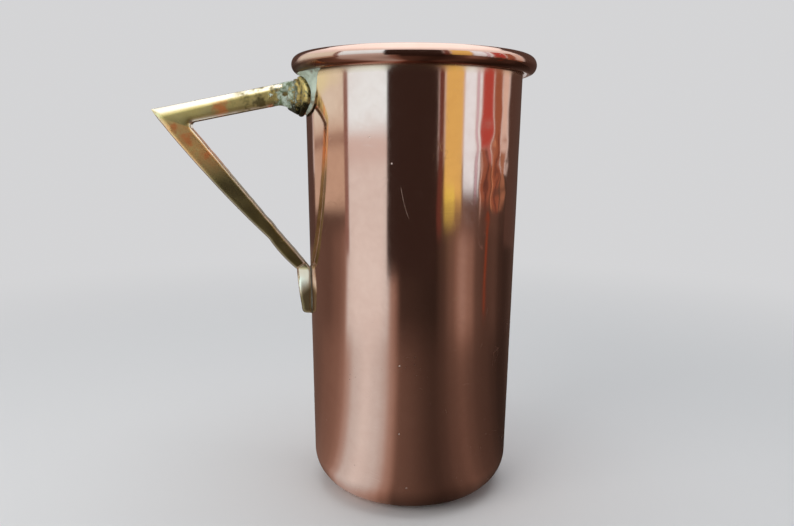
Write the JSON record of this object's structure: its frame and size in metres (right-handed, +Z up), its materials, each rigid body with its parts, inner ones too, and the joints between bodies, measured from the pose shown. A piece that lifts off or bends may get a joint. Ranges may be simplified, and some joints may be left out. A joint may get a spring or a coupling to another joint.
{
  "type": "water jug",
  "caption": "Tall round copper water jug with a rounded heel, rolled rim and a pointed triangular brass handle.",
  "frame": {"origin": "centre of the foot ring, on the plane that the jug stands on", "axes": "+Z up along the jug's axis; the handle reaches out along -X"},
  "size_m": [0.1536, 0.099, 0.18],
  "materials": {
    "copper_sheet": "polished copper with fine polishing lines, specks and light tarnish",
    "copper_wire": "plain drawn copper",
    "cast_brass": "aged cast brass, polished on the edges, olive and brown in the hollows",
    "brass_plate": "dull brass under verdigris",
    "brass_fastener": "worn brass",
    "copper_burr": "dull copper",
    "solder_verdigris": "solder under pale green crust",
    "solder_film": "dull grey solder"
  },
  "bodies": {
    "root": {"body_shell": "copper_sheet", "rim_wire": "copper_wire", "handle_casting": "cast_brass", "handle_boss": "cast_brass", "boss_saddle": "brass_plate", "boss_stud": "brass_fastener", "boss_burr": "copper_burr", "boss_solder": "solder_verdigris", "palm_rivets": "brass_fastener", "palm_burrs": "copper_burr", "palm_solder": "solder_film"}
  },
  "joints": []
}
